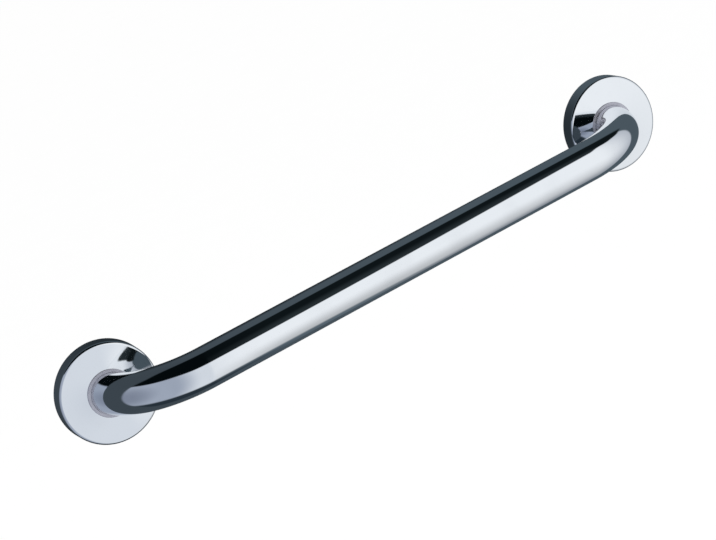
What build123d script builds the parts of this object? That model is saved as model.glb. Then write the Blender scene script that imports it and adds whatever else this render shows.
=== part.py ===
from build123d import *
import os
from math import sqrt

# Wall-mounted grab bar: one bent tube, welded at each end into a round wall plate.
# A drawn cover rose snaps over each plate, and a soft ring closes the gap round the tube.
# Lengths are in millimetres. X runs along the bar, Y into the wall and Z up.
# The origin is the centre of the left wall plate, on the wall.

# Driving dimensions
fixing_distance = 475.0
hand_clearance = 50.0

tube_diameter = 32.0
tube_wall = 1.5

plate_thickness = 3.0
plate_edge_break = 0.4
screw_count = 3
screw_circle_diameter = 54.0
screw_hole_diameter = 6.5
screw_head_diameter = 11.0
screw_first_angle = 60.0

cover_diameter = 80.0
cover_depth = 13.0
cover_sheet = 0.9
cover_draft = 0.4
cover_edge_radius = 2.2

ring_neck_wall = 0.8
ring_flange_overlap = 1.4
ring_flange_height = 1.4
ring_edge_radius = 0.6
ring_lip_overlap = 0.5
ring_lip_height = 0.8

# Clearances
weld_clearance = 0.05
snap_clearance = 0.15
ring_tube_clearance = 0.1
ring_hole_clearance = 0.1

# Sizes that follow from the driving dimensions
tube_radius = tube_diameter / 2
stand_off = hand_clearance + tube_radius
bend_radius = stand_off - plate_thickness
cover_radius = cover_diameter / 2
cover_draft_at_plate = cover_draft * plate_thickness / cover_depth
plate_radius = cover_radius - cover_draft_at_plate - cover_sheet - snap_clearance

wall_plane = Plane.XZ
middle_plane = Plane.YZ.offset(fixing_distance / 2)


def tube_reach(height, side):
    """X of the left bend's surface at a height off the wall, on the inner (+1) or outer (-1) side."""
    surface_radius = bend_radius - side * tube_radius
    rise = height - plate_thickness
    return bend_radius - sqrt(surface_radius**2 - rise**2)


# The tube already leans where it leaves the cover, so the hole and the ring sit off the cover's centre.
tube_inner_side = tube_reach(cover_depth, 1)
tube_outer_side = tube_reach(cover_depth, -1)
ring_centre = Pos((tube_inner_side + tube_outer_side) / 2, 0)
ring_bore_radius = (tube_inner_side - tube_outer_side) / 2 + ring_tube_clearance
ring_neck_radius = ring_bore_radius + ring_neck_wall
cover_hole_radius = ring_neck_radius + ring_hole_clearance


def tube_path():
    """Centre line of the tube, from the back of one wall plate to the back of the other."""
    return FilletPolyline(
        (0, 0, 0),
        (0, -stand_off, 0),
        (fixing_distance, -stand_off, 0),
        (fixing_distance, 0, 0),
        radius=bend_radius,
    )


def swept_tube(radius):
    """Solid round bar of the given radius along the tube's centre line."""
    return sweep(wall_plane * Circle(radius), path=tube_path())


def grab_tube():
    """Round tube bent at both ends, its ends flush with the backs of the wall plates."""
    section = Circle(tube_radius) - Circle(tube_radius - tube_wall)
    return sweep(wall_plane * section, path=tube_path())


def wall_plate():
    """Flat disc bored for the tube, with countersunk screw holes clear of the bend."""
    disc = extrude(wall_plane * Circle(plate_radius), plate_thickness)
    disc = chamfer(disc.faces().sort_by(Axis.Y)[0].edges(), plate_edge_break)
    bore = extrude(wall_plane * Circle(tube_radius + weld_clearance), plate_thickness)
    front = wall_plane.offset(plate_thickness)
    screw_places = PolarLocations(screw_circle_diameter / 2, screw_count, screw_first_angle)
    hole = CounterSinkHole(
        screw_hole_diameter / 2, screw_head_diameter / 2, plate_thickness, counter_sink_angle=90
    )
    return disc - bore - front * screw_places * hole


def cover_rose():
    """Drawn round cover: a slightly tapered wall, a rounded edge and a flat pierced face."""
    front_radius = cover_radius - cover_draft
    profile = Polyline(
        (0, 0),
        (cover_radius, 0),
        (front_radius, -cover_depth),
        (0, -cover_depth),
        close=True,
    )
    solid = revolve(make_face(profile), Axis.Y)
    face = solid.faces().sort_by(Axis.Y)[0]
    solid = fillet(face.edges(), cover_edge_radius)
    back = solid.faces().sort_by(Axis.Y)[-1]
    shell = offset(solid, -cover_sheet, openings=back)
    return shell - extrude(wall_plane * ring_centre * Circle(cover_hole_radius), cover_depth)


def cover_ring():
    """Soft ring seated on the cover's face, with a neck through its hole and a lip behind it."""
    face_plane = wall_plane.offset(cover_depth) * ring_centre
    flange = extrude(face_plane * Circle(cover_hole_radius + ring_flange_overlap), ring_flange_height)
    flange = fillet(flange.faces().sort_by(Axis.Y)[0].edges(), ring_edge_radius)
    neck_length = cover_sheet + ring_hole_clearance + ring_lip_height
    neck = extrude(face_plane * Circle(ring_neck_radius), -neck_length)
    lip_plane = wall_plane.offset(cover_depth - neck_length) * ring_centre
    lip = extrude(lip_plane * Circle(cover_hole_radius + ring_lip_overlap), ring_lip_height)
    return flange + neck + lip - swept_tube(tube_radius + ring_tube_clearance)


os.makedirs("parts", exist_ok=True)
export_step(grab_tube(), "parts/grab_tube.step")

left_pieces = {
    "wall_plate": wall_plate(),
    "cover_rose": cover_rose(),
    "cover_ring": cover_ring(),
}
for name, piece in left_pieces.items():
    export_step(piece, f"parts/left_{name}.step")
    export_step(mirror(piece, middle_plane), f"parts/right_{name}.step")
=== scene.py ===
from math import atan2, cos, degrees, pi, radians, sin, sqrt

import bpy
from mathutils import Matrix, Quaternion, Vector


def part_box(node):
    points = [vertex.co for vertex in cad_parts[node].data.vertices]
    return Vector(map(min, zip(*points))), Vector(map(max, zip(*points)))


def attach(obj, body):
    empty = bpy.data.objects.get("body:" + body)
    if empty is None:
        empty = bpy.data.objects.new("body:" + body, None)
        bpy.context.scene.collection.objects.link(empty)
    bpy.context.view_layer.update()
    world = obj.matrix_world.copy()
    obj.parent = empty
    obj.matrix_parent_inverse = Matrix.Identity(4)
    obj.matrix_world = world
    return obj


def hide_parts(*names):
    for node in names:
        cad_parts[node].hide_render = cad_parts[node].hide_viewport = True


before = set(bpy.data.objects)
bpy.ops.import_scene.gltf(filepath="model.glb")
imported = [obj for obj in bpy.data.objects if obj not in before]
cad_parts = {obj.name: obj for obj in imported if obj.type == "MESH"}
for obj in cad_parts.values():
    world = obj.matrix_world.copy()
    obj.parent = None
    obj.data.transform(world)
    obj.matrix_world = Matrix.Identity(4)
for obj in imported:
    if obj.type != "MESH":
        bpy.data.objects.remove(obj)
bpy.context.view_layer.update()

# Wall plates: two flat steel discs that carry the bar, cut from rolled sheet and left unpolished.
# Each has countersunk holes for three wall screws, and the tube's end is welded into its middle,
# which leaves a ring of straw and blue heat colours round the bore.


class Shade:
    """One output socket of a node tree. Sums and products of these add Math nodes to the tree."""

    def __init__(self, tree, socket=None):
        self.tree = tree
        self.socket = socket

    def node(self, kind, settings, inputs, output=0):
        """Adds a node: its settings first, then the values or links of its sockets."""
        made = self.tree.nodes.new("ShaderNode" + kind)
        for name, value in settings.items():
            setattr(made, name, value)
        for key, value in inputs.items():
            if isinstance(value, Shade):
                self.tree.links.new(value.socket, made.inputs[key])
            elif made.inputs[key].type == "RGBA":
                made.inputs[key].default_value = (*value, 1.0)
            else:
                made.inputs[key].default_value = value
        return Shade(self.tree, made.outputs[output] if made.outputs else None)

    def math(self, operation, *values):
        return self.node("Math", {"operation": operation}, dict(enumerate(values)))

    def step(self, low, high):
        """A soft step that rises from 0 at low to 1 at high."""
        return self.node(
            "MapRange",
            {"interpolation_type": "SMOOTHSTEP"},
            {"Value": self, "From Min": low, "From Max": high},
        )

    def between(self, first, second):
        """The first colour where this value is 0, the second where it is 1."""
        return self.node("Mix", {"data_type": "RGBA"}, {0: self, 6: first, 7: second}, 2)

    def __add__(self, other):
        return self.math("ADD", self, other)

    __radd__ = __add__

    def __sub__(self, other):
        return self.math("SUBTRACT", self, other)

    def __rsub__(self, other):
        return self.math("SUBTRACT", other, self)

    def __mul__(self, other):
        return self.math("MULTIPLY", self, other)

    __rmul__ = __mul__


def new_material(name):
    """A material with an empty node tree, and the handle that adds its nodes."""
    material = bpy.data.materials.new(name)
    material.use_nodes = True
    material.node_tree.nodes.clear()
    return material, Shade(material.node_tree)


def surface(shade, **sockets):
    """Closes a material with one Principled surface; socket names are written with underscores."""
    inputs = {name.replace("_", " "): value for name, value in sockets.items()}
    shade.node("OutputMaterial", {}, {"Surface": shade.node("BsdfPrincipled", {}, inputs)})


def stretched_noise(shade, scale, detail):
    """Noise on the object's own metres, with a count of waves per metre along X, Y and Z."""
    place = shade.node("TexCoord", {}, {}, "Object")
    scaled = shade.node("VectorMath", {"operation": "MULTIPLY"}, {0: place, 1: scale})
    return shade.node("TexNoise", {}, {"Vector": scaled, "Scale": 1.0, "Detail": detail}, "Fac")


tube_low, tube_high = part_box("grab_tube")
rose_low, rose_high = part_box("right_cover_rose")
fixing_distance = (rose_low[0] + rose_high[0]) / 2
tube_radius = tube_high[0] - fixing_distance
plate_thickness = -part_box("left_wall_plate")[0][1]

plate_grey = (0.46, 0.46, 0.45)
plate_scale_grey = (0.33, 0.33, 0.33)
heat_straw = (0.46, 0.34, 0.17)
heat_blue = (0.16, 0.20, 0.32)
heat_width = 0.009


def plate_steel(side, bore_x):
    """Rolled steel with fine streaks, blotches of mill scale and heat colours round the weld."""
    material, shade = new_material(side + "_rolled_steel")
    streaks = stretched_noise(shade, (60.0, 60.0, 2600.0), 3.0)
    blotches = stretched_noise(shade, (70.0, 70.0, 70.0), 4.0)
    place = shade.node("TexCoord", {}, {}, "Object")
    from_bore = shade.node("VectorMath", {"operation": "SUBTRACT"}, {0: place, 1: (bore_x, 0.0, 0.0)})
    flat = shade.node("VectorMath", {"operation": "MULTIPLY"}, {0: from_bore, 1: (1.0, 0.0, 1.0)})
    distance = shade.node("VectorMath", {"operation": "LENGTH"}, {0: flat}, "Value")
    ragged = distance + 0.004 * (blotches - 0.5)
    straw = 1.0 - ragged.step(tube_radius + 0.4 * heat_width, tube_radius + heat_width)
    blue = 1.0 - ragged.step(tube_radius + 0.1 * heat_width, tube_radius + 0.5 * heat_width)
    steel = blotches.step(0.42, 0.68).between(plate_grey, plate_scale_grey)
    tinted = (0.75 * straw).between(steel, heat_straw)
    surface(
        shade,
        Base_Color=(0.8 * blue).between(tinted, heat_blue),
        Metallic=0.35,
        Roughness=0.30 + 0.16 * streaks + 0.10 * blotches,
        Normal=shade.node("Bump", {}, {"Strength": 0.25, "Distance": 0.0001, "Height": streaks}),
    )
    return material


for side, bore_x in (("left", 0.0), ("right", fixing_distance)):
    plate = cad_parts[side + "_wall_plate"]
    plate.data.materials.clear()
    plate.data.materials.append(plate_steel(side, bore_x))

# Grab tube: one length of round tube, bent square to the wall at each end in a single wide bend.
# It is steel, polished along its length and then chromed outside. The bore stays bare, with the
# scale that the bending and welding leave there.

tube_wall = 0.0015
round_steps = 160
bend_steps = 72

bend_radius = -tube_low[1] - tube_radius - plate_thickness
inward = Vector((0.0, 1.0, 0.0))
upward = Vector((0.0, 0.0, 1.0))


def ring_mesh(name, rings, finishes, mirrored=False):
    """Closed mesh of quads between neighbouring rings of points, with exact normals.

    A ring is (points, normals on the strip before it, normals on the strip after it).
    Finishes gives the material index of the strip after each ring. A mirrored mesh is the
    same piece at the bar's other end.
    """
    count = len(rings[0][0])
    points = [point for ring in rings for point in ring[0]]
    faces = []
    corner_normals = []
    face_finishes = []
    for first in range(len(rings)):
        second = (first + 1) % len(rings)
        leaving, arriving = rings[first][2], rings[second][1]
        for k in range(count):
            j = (k + 1) % count
            corners = [
                (first * count + k, leaving[k]),
                (first * count + j, leaving[j]),
                (second * count + j, arriving[j]),
                (second * count + k, arriving[k]),
            ]
            if not mirrored:
                corners.reverse()
            faces.append([index for index, normal in corners])
            corner_normals += [normal for index, normal in corners]
            face_finishes.append(finishes[first])
    if mirrored:
        points = [Vector((fixing_distance - p.x, p.y, p.z)) for p in points]
        corner_normals = [Vector((-n.x, n.y, n.z)) for n in corner_normals]
    mesh = bpy.data.meshes.new(name)
    mesh.from_pydata(points, [], faces, shade_flat=False)
    mesh.polygons.foreach_set("material_index", face_finishes)
    mesh.normals_split_custom_set(corner_normals)
    piece = bpy.data.objects.new(name, mesh)
    bpy.context.scene.collection.objects.link(piece)
    return piece


def tube_stations():
    """Centre of the tube and the direction to the outside of its bend, from one end to the other."""
    left_centre = Vector((bend_radius, -plate_thickness, 0.0))
    right_centre = Vector((fixing_distance - bend_radius, -plate_thickness, 0.0))
    turns = [pi / 2 * step / bend_steps for step in range(bend_steps + 1)]
    left = [Vector((-cos(turn), -sin(turn), 0.0)) for turn in turns]
    right = [Vector((cos(turn), -sin(turn), 0.0)) for turn in reversed(turns)]
    stations = [(Vector((0.0, 0.0, 0.0)), left[0])]
    stations += [(left_centre + bend_radius * out, out) for out in left]
    stations += [(right_centre + bend_radius * out, out) for out in right]
    stations.append((Vector((fixing_distance, 0.0, 0.0)), right[-1]))
    return stations


round_angles = [2 * pi * step / round_steps for step in range(round_steps)]
to_wall = [inward] * round_steps
outer_rings = []
bore_rings = []
for centre, out in tube_stations():
    spokes = [cos(angle) * out + sin(angle) * upward for angle in round_angles]
    outside = [centre + tube_radius * spoke for spoke in spokes]
    inside = [centre + (tube_radius - tube_wall) * spoke for spoke in spokes]
    to_bore = [-spoke for spoke in spokes]
    outer_rings.append((outside, spokes, spokes))
    bore_rings.insert(0, (inside, to_bore, to_bore))
outer_rings[0] = (outer_rings[0][0], to_wall, outer_rings[0][2])
outer_rings[-1] = (outer_rings[-1][0], outer_rings[-1][1], to_wall)
bore_rings[0] = (bore_rings[0][0], to_wall, bore_rings[0][2])
bore_rings[-1] = (bore_rings[-1][0], bore_rings[-1][1], to_wall)

chrome_bright = (0.865, 0.885, 0.91)
chrome_hazy = (0.83, 0.85, 0.875)
bore_grey = (0.30, 0.29, 0.28)
bore_scale = (0.14, 0.125, 0.115)


def polished_chrome(name, polish_waves):
    """Mirror chrome with faint wiping haze and the last trace of its polishing lines."""
    material, shade = new_material(name)
    haze = stretched_noise(shade, (34.0, 34.0, 34.0), 3.0).step(0.45, 0.75)
    polish = stretched_noise(shade, polish_waves, 2.0)
    surface(
        shade,
        Base_Color=haze.between(chrome_bright, chrome_hazy),
        Metallic=1.0,
        Roughness=0.035 + 0.03 * haze + 0.015 * polish,
        Normal=shade.node("Bump", {}, {"Strength": 0.02, "Distance": 0.00002, "Height": polish}),
    )
    return material


def bare_bore():
    """Dull drawn steel with patches of scale."""
    material, shade = new_material("bare_bore")
    scale = stretched_noise(shade, (150.0, 150.0, 150.0), 5.0)
    surface(
        shade,
        Base_Color=scale.step(0.4, 0.65).between(bore_grey, bore_scale),
        Metallic=0.4,
        Roughness=0.45 + 0.3 * scale,
        Normal=shade.node("Bump", {}, {"Strength": 0.3, "Distance": 0.0003, "Height": scale}),
    )
    return material


tube_finishes = [0] * (len(outer_rings) - 1) + [1] * (len(bore_rings) + 1)
tube = ring_mesh("polished_tube", outer_rings + bore_rings, tube_finishes)
tube.data.materials.append(polished_chrome("tube_chrome", (12.0, 1500.0, 1500.0)))
tube.data.materials.append(bare_bore())
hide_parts("grab_tube")
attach(tube, "root")

# Cover roses: two round caps drawn from thin sheet, pushed over the plates to hide the screws.
# The draw leaves a slight taper and a rounded edge, and the face is pierced where the leaning
# tube passes through. They are polished and chromed, with duller plating inside.

cover_sheet = 0.0009
cover_draft = 0.0004
cover_edge_radius = 0.0022
face_lean_at_hole = radians(6.5)
face_lean_at_edge = radians(3.0)
edge_steps = 16

cover_radius = rose_high[2]
cover_depth = -rose_low[1]
ring_low, ring_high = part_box("left_cover_ring")
ring_x = (ring_low[0] + ring_high[0]) / 2
flange_radius = ring_high[2]
flange_overlap = 0.0014
cover_hole_radius = flange_radius - flange_overlap
outward = [Vector((0.0, -1.0, 0.0))] * round_steps


def circle(centre_x, radius, y):
    """Points of a circle that faces the wall."""
    return [Vector((centre_x + radius * cos(a), y, radius * sin(a))) for a in round_angles]


def spread(radial, along):
    """The same slant of normal all round a turned form."""
    return [Vector((radial * cos(a), along, radial * sin(a))) for a in round_angles]


def cover_rings():
    """Rings of the rose from its hole over the face and wall to the rim, and back inside.

    The face is flat, as in the solids. Only its normals lean, as if it rose slightly to the hole.
    """
    slope = atan2(cover_draft, cover_depth)
    edge_y = -(cover_depth - cover_edge_radius)
    wall_radius = cover_radius + edge_y * cover_draft / cover_depth
    edge_centre = wall_radius - cover_edge_radius / cos(slope)
    bends = [pi / 2 + (slope - pi / 2) * step / edge_steps for step in range(edge_steps + 1)]
    to_hole = spread(-1.0, 0.0)
    face_normals = spread(sin(face_lean_at_hole), -cos(face_lean_at_hole))
    rings = [(circle(ring_x, cover_hole_radius, -cover_depth), to_hole, face_normals)]
    for bend in bends:
        radius = edge_centre + cover_edge_radius * cos(bend)
        y = edge_y - cover_edge_radius * sin(bend)
        leaning = bend - face_lean_at_edge * (bend - slope) / (pi / 2 - slope)
        normals = spread(cos(leaning), -sin(leaning))
        rings.append((circle(0.0, radius, y), normals, normals))
    rings.append((circle(0.0, cover_radius, 0.0), rings[-1][2], to_wall))
    inner_radius = cover_edge_radius - cover_sheet
    wall_normals = spread(-cos(slope), sin(slope))
    rings.append((circle(0.0, cover_radius - cover_sheet / cos(slope), 0.0), to_wall, wall_normals))
    for bend in reversed(bends):
        radius = edge_centre + inner_radius * cos(bend)
        y = edge_y - inner_radius * sin(bend)
        normals = spread(-cos(bend), sin(bend))
        rings.append((circle(0.0, radius, y), normals, normals))
    rings.append((circle(ring_x, cover_hole_radius, cover_sheet - cover_depth), to_wall, to_hole))
    return rings


plating_light = (0.60, 0.61, 0.63)
plating_dark = (0.48, 0.49, 0.51)


def dull_plating():
    """Thin chrome on unpolished drawn sheet, streaked where the sheet was pulled."""
    material, shade = new_material("dull_plating")
    streaks = stretched_noise(shade, (500.0, 60.0, 500.0), 3.0)
    surface(
        shade,
        Base_Color=streaks.step(0.35, 0.7).between(plating_light, plating_dark),
        Metallic=0.7,
        Roughness=0.26 + 0.16 * streaks,
        Normal=shade.node("Bump", {}, {"Strength": 0.15, "Distance": 0.0001, "Height": streaks}),
    )
    return material


rose_chrome = polished_chrome("rose_chrome", (900.0, 40.0, 900.0))
rose_inside = dull_plating()
rose_rings = cover_rings()
rose_finishes = [0] * (edge_steps + 2) + [1] * (edge_steps + 4)
for side in ("left", "right"):
    rose = ring_mesh(side + "_rose_shell", rose_rings, rose_finishes, side == "right")
    rose.data.materials.append(rose_chrome)
    rose.data.materials.append(rose_inside)
    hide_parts(side + "_cover_rose")
    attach(rose, "root")

# Cover rings: two soft plastic rings that close the gap between the tube and the pierced face.
# Each is moulded in pale mauve-grey, with a flange on the face, a neck through the hole and a
# lip behind that holds it, and its bore follows the lean of the bend.

ring_tube_clearance = 0.00003
ring_neck_gap = 0.0001
ring_lip_height = 0.0008
ring_lip_overlap = 0.0005
ring_edge_radius = 0.0006
ring_bore_edge = 0.00015
soft_steps = 8

flange_y = ring_low[1]
lip_y = ring_high[1]


def bore_at(y, grown=0.0):
    """Points where the tube's surface, grown by a clearance, crosses a height off the wall."""
    points = []
    for angle in round_angles:
        radius = tube_radius + ring_tube_clearance + grown
        from_bend = bend_radius - radius * cos(angle)
        x = bend_radius - sqrt(from_bend**2 - (y + plate_thickness) ** 2)
        points.append(Vector((x, y, radius * sin(angle))))
    return points


def soft_ring_rings():
    """Rings of the soft ring, from its bore over the flange and neck to the lip and back."""
    neck_radius = cover_hole_radius - ring_neck_gap
    lip_radius = cover_hole_radius + ring_lip_overlap
    lip_top = lip_y - ring_lip_height
    bends = [pi / 2 * step / soft_steps for step in range(soft_steps + 1)]
    to_tube = spread(-1.0, 0.0)
    rings = []
    for bend in bends:
        grown = ring_bore_edge * (1 - cos(bend))
        y = flange_y + ring_bore_edge * (1 - sin(bend))
        normals = spread(-cos(bend), -sin(bend))
        rings.append((bore_at(y, grown), normals, normals))
    for bend in reversed(bends):
        radius = flange_radius - ring_edge_radius * (1 - cos(bend))
        y = flange_y + ring_edge_radius * (1 - sin(bend))
        normals = spread(cos(bend), -sin(bend))
        rings.append((circle(ring_x, radius, y), normals, normals))
    from_tube = spread(1.0, 0.0)
    rings.append((circle(ring_x, flange_radius, -cover_depth), from_tube, to_wall))
    rings.append((circle(ring_x, neck_radius, -cover_depth), to_wall, from_tube))
    rings.append((circle(ring_x, neck_radius, lip_top), from_tube, outward))
    rings.append((circle(ring_x, lip_radius, lip_top), outward, from_tube))
    rings.append((circle(ring_x, lip_radius, lip_y), from_tube, to_wall))
    rings.append((bore_at(lip_y), to_wall, to_tube))
    return rings


ring_mauve = (0.43, 0.43, 0.49)
ring_pale = (0.48, 0.48, 0.54)


def soft_plastic():
    """Soft moulded plastic with a silky, faintly pearly surface and slightly uneven colour."""
    material, shade = new_material("soft_plastic")
    cloud = stretched_noise(shade, (220.0, 220.0, 220.0), 3.0)
    surface(
        shade,
        Base_Color=cloud.step(0.35, 0.7).between(ring_mauve, ring_pale),
        Metallic=0.6,
        Roughness=0.26 + 0.10 * cloud,
    )
    return material


ring_plastic = soft_plastic()
ring_rings = soft_ring_rings()
for side in ("left", "right"):
    ring = ring_mesh(side + "_soft_ring", ring_rings, [0] * len(ring_rings), side == "right")
    ring.data.materials.append(ring_plastic)
    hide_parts(side + "_cover_ring")
    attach(ring, "root")

# Studio floor: a wide pale sheet at the height of a bathroom floor, below where the bar is fixed.
# It is matt white, and runs to the horizon of the white surround.

floor_height = -0.9
floor_half = 60.0
floor_white = (0.985, 0.985, 0.985)
floor_bright = (0.995, 0.995, 0.995)

floor_corners = [(-1, -1), (1, -1), (1, 1), (-1, 1)]
floor_mesh = bpy.data.meshes.new("floor")
floor_mesh.from_pydata(
    [(floor_half * x, floor_half * y, floor_height) for x, y in floor_corners], [], [(0, 1, 2, 3)]
)
floor = bpy.data.objects.new("floor", floor_mesh)
bpy.context.scene.collection.objects.link(floor)
floor_material, floor_shade = new_material("floor_paper")
floor_fibre = stretched_noise(floor_shade, (9.0, 9.0, 9.0), 4.0)
surface(
    floor_shade,
    Base_Color=floor_fibre.between(floor_white, floor_bright),
    Roughness=0.9,
    Specular_IOR_Level=0.0,
)
floor.data.materials.append(floor_material)

# Reflection tent: the ring of cloth and dark flags round a polished piece in a studio, which only
# the mirror finishes see. A white front screen is lit from the right, with black flags above it,
# a dark table edge below on the left, and a slate room behind.

tent_radius = 0.85
tent_centre = (fixing_distance / 2, -0.04, 0.0)
screen_far_left = (0.22, 0.25, 0.325)
screen_left = (0.38, 0.425, 0.515)
screen_middle = (0.73, 0.77, 0.825)
screen_right = (0.925, 0.95, 0.975)
screen_far_right = (0.43, 0.465, 0.525)
flag_black = (0.0016, 0.0032, 0.0040)
flag_dim = (0.005, 0.008, 0.0095)
flag_glow = (0.022, 0.030, 0.034)
table_left = (0.022, 0.033, 0.044)
table_right = (0.11, 0.145, 0.175)
slate_left = (0.050, 0.065, 0.079)
slate_right = (0.076, 0.102, 0.122)
slate_deep = (0.021, 0.028, 0.034)


def tent_light():
    """Emission of the tent, by the direction from its middle. Angles are in degrees."""
    material, shade = new_material("tent_light")
    place = shade.node("TexCoord", {}, {}, "Object")
    direction = shade.node("VectorMath", {"operation": "NORMALIZE"}, {0: place})
    x, y, z = [shade.node("SeparateXYZ", {}, {0: direction}, axis) for axis in "XYZ"]
    to_right = degrees(1.0) * shade.math("ARCTAN2", x, -1.0 * y)
    height = degrees(1.0) * shade.math("ARCSINE", z)
    on_right = x.step(-0.03, 0.16)
    on_left = 1.0 - on_right

    # Tone of the screen from left to right, and its fall towards the table on the right
    tone = x.step(-1.04, -0.80).between(screen_far_left, screen_left)
    tone = x.step(-0.65, -0.20).between(tone, screen_middle)
    tone = x.step(-0.06, 0.10).between(tone, screen_right)
    tone = to_right.step(45.0, 105.0).between(tone, screen_far_right)
    fall = 1.0 - 0.42 * on_right * (1.0 - height.step(-70.0, -5.0))
    cloth = shade.node("VectorMath", {"operation": "SCALE"}, {0: tone, "Scale": fall})

    # Edges of the screen: a top that rises on the right, the table's edge and the open back
    left_top = 34.2 - 3.3 * to_right.step(-50.0, -15.0)
    right_top = 8.7 * to_right.step(6.0, 48.0) - 9.2 * to_right.step(60.0, 77.0)
    above = height - left_top - right_top + 6.0 * to_right.step(74.0, 90.0)
    leftward = shade.math("MINIMUM", to_right, 0.0)
    below = 0.0048 * leftward * leftward - 70.0 - height
    open_back = 0.05 - 0.02 * on_right + 0.10 * on_right * (1.0 - height.step(-60.0, -35.0))
    under_top = 1.0 - above.step(-1.8, 1.8)
    over_table = 1.0 - below.step(-6.0, 6.0)
    screen = under_top * over_table * (1.0 - (y - open_back).step(-0.03, 0.03))

    # Surround: black flags above, the table below and the slate room behind
    glow = (1.0 - height.step(40.0, 66.0)) * (1.0 - to_right.step(52.0, 72.0))
    flags = on_right.between(flag_black, glow.between(flag_dim, flag_glow))
    table = (on_right * height.step(-90.0, -76.0)).between(table_left, table_right)
    front = height.step(0.0, 10.0).between(table, flags)
    room = x.step(-0.4, 0.6).between(slate_left, slate_right)
    room = y.step(0.72, 0.97).between(room, slate_deep)
    left_edge = 0.05 + 0.12 * z.step(0.75, 0.98) + 0.08 * (1.0 - z.step(-0.85, -0.60))
    edge = on_left * left_edge + 0.13 * on_right
    behind = shade.math("MAXIMUM", (y - edge).step(-0.05, 0.05), under_top * over_table)
    colour = screen.between(behind.between(front, room), cloth)
    light = shade.node("Emission", {}, {"Color": colour, "Strength": 1.0})
    shade.node("OutputMaterial", {}, {"Surface": light})
    return material


bpy.ops.mesh.primitive_uv_sphere_add(
    segments=96, ring_count=48, radius=tent_radius, location=tent_centre
)
tent = bpy.context.object
tent.name = "reflection_tent"
tent.data.materials.append(tent_light())
tent.visible_camera = False
tent.visible_diffuse = False
tent.visible_transmission = False
tent.visible_volume_scatter = False
tent.visible_shadow = False

# Light and camera: an even white surround lights the piece plainly, and one broad soft lamp in
# front gives the matt rings their shape. The camera stands in front, above and to the left of the
# bar, rolled so that the bar climbs to the right.

world = bpy.data.worlds.new("white_surround")
world.use_nodes = True
world.node_tree.nodes["Background"].inputs["Color"].default_value = (1.0, 1.0, 1.0, 1.0)
world.node_tree.nodes["Background"].inputs["Strength"].default_value = 1.0
bpy.context.scene.world = world

lamp_data = bpy.data.lights.new("soft_lamp", "AREA")
lamp_data.shape = "DISK"
lamp_data.size = 1.2
lamp_data.energy = 6.0
lamp = bpy.data.objects.new("soft_lamp", lamp_data)
lamp.location = (-0.5, -1.5, 1.3)
lamp_aim = Vector((fixing_distance / 2, 0.0, 0.0))
lamp.rotation_euler = (lamp_aim - lamp.location).to_track_quat("-Z", "Y").to_euler()
lamp.visible_camera = False
lamp.visible_glossy = False
bpy.context.scene.collection.objects.link(lamp)

camera_place = Vector((-0.28928, -1.43856, 0.46338))
camera_aim = Vector((0.20075, -0.066, 0.01080))
camera_roll = radians(-22.211)
camera_data = bpy.data.cameras.new("camera")
camera_data.sensor_width = 36.0
camera_data.lens = 101.489
camera = bpy.data.objects.new("camera", camera_data)
camera.location = camera_place
level = (camera_aim - camera_place).to_track_quat("-Z", "Y")
camera.rotation_euler = (level @ Quaternion((0.0, 0.0, 1.0), camera_roll)).to_euler()
bpy.context.scene.collection.objects.link(camera)
bpy.context.scene.camera = camera
bpy.context.scene.view_settings.view_transform = "Standard"
